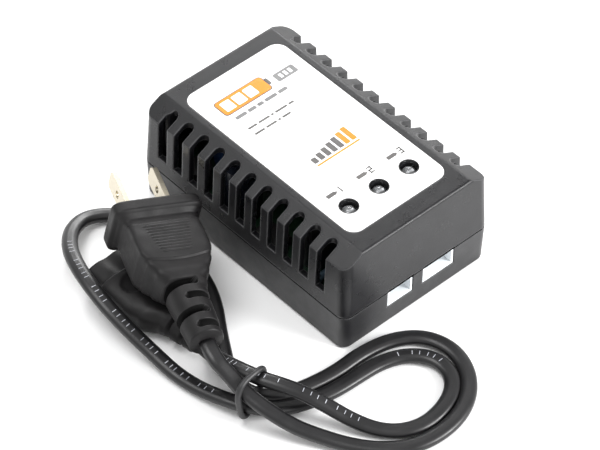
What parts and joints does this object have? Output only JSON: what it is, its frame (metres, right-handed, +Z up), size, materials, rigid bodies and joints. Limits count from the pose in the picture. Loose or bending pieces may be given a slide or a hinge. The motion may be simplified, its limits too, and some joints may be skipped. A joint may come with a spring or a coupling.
{
  "type": "balance battery charger",
  "caption": "Small vented box charger with a mains inlet at one end, balance sockets at the other, status lamps on top, and a loose mains lead tied beside it.",
  "frame": {"origin": "centre of the charger's underside, on the surface that it stands on", "axes": "+Z up; long axis along Y, the balance sockets face -Y and the mains inlet faces +Y; the lead lies on the -X side"},
  "size_m": [0.1061, 0.1357, 0.0366],
  "materials": {
    "case_plastic": "fine spark-eroded matte",
    "label_film": "gloss",
    "screw_steel": "zinc plated",
    "bezel_gloss": "gloss",
    "led_epoxy": "clear to milky",
    "tinned_wire": "tinned",
    "board_laminate": "solder mask",
    "socket_nylon": "satin",
    "inlet_plastic": "satin",
    "plated_brass": "nickel plated",
    "component_black": "satin",
    "component_blue": "gloss",
    "component_white": "satin",
    "ferrite": "dull",
    "enamelled_copper": "enamelled",
    "capacitor_sleeve": "gloss",
    "winding_tape": "tape",
    "heat_sink_aluminium": "brushed",
    "resistor_coat": "gloss",
    "lead_pvc": "satin",
    "cord_pvc": "semi-gloss",
    "tie_pvc": "satin"
  },
  "bodies": {
    "charger": {"top_shell": "case_plastic", "bottom_shell": "case_plastic", "label_panel": "label_film", "case_screws": "screw_steel", "led_bezels": "bezel_gloss", "cell_1_led": "led_epoxy", "cell_2_led": "led_epoxy", "cell_3_led": "led_epoxy", "led_legs": "tinned_wire", "circuit_board": "board_laminate", "balance_socket_2s": "socket_nylon", "balance_pins_2s": "tinned_wire", "balance_socket_3s": "socket_nylon", "balance_pins_3s": "tinned_wire", "mains_inlet_body": "inlet_plastic", "mains_inlet_pins": "plated_brass", "fuse": "component_black", "surge_absorber": "component_blue", "line_choke_core": "ferrite", "line_choke_base": "component_black", "line_choke_winding": "enamelled_copper", "bridge_rectifier": "component_black", "bulk_capacitor": "capacitor_sleeve", "switching_controller": "component_black", "transformer_core": "ferrite", "transformer_bobbin": "component_black", "transformer_winding": "winding_tape", "safety_capacitor": "component_blue", "optocoupler": "component_white", "rectifier_diode": "component_black", "output_capacitors": "capacitor_sleeve", "cell_regulators": "component_black", "heat_sink": "heat_sink_aluminium", "cell_transistors": "component_black", "sense_resistors": "resistor_coat", "monitor_chip": "component_black"},
    "mains_lead": {"plug_body": "lead_pvc", "plug_blades": "plated_brass", "connector_body": "lead_pvc", "connector_contacts": "plated_brass", "lead_cord": "cord_pvc", "lead_tie": "tie_pvc"}
  },
  "joints": [
    {"name": "lead_lift", "type": "slide", "parent": "charger", "child": "mains_lead", "axis": [0, 0, 1], "range_m": [0, 0.06]}
  ]
}
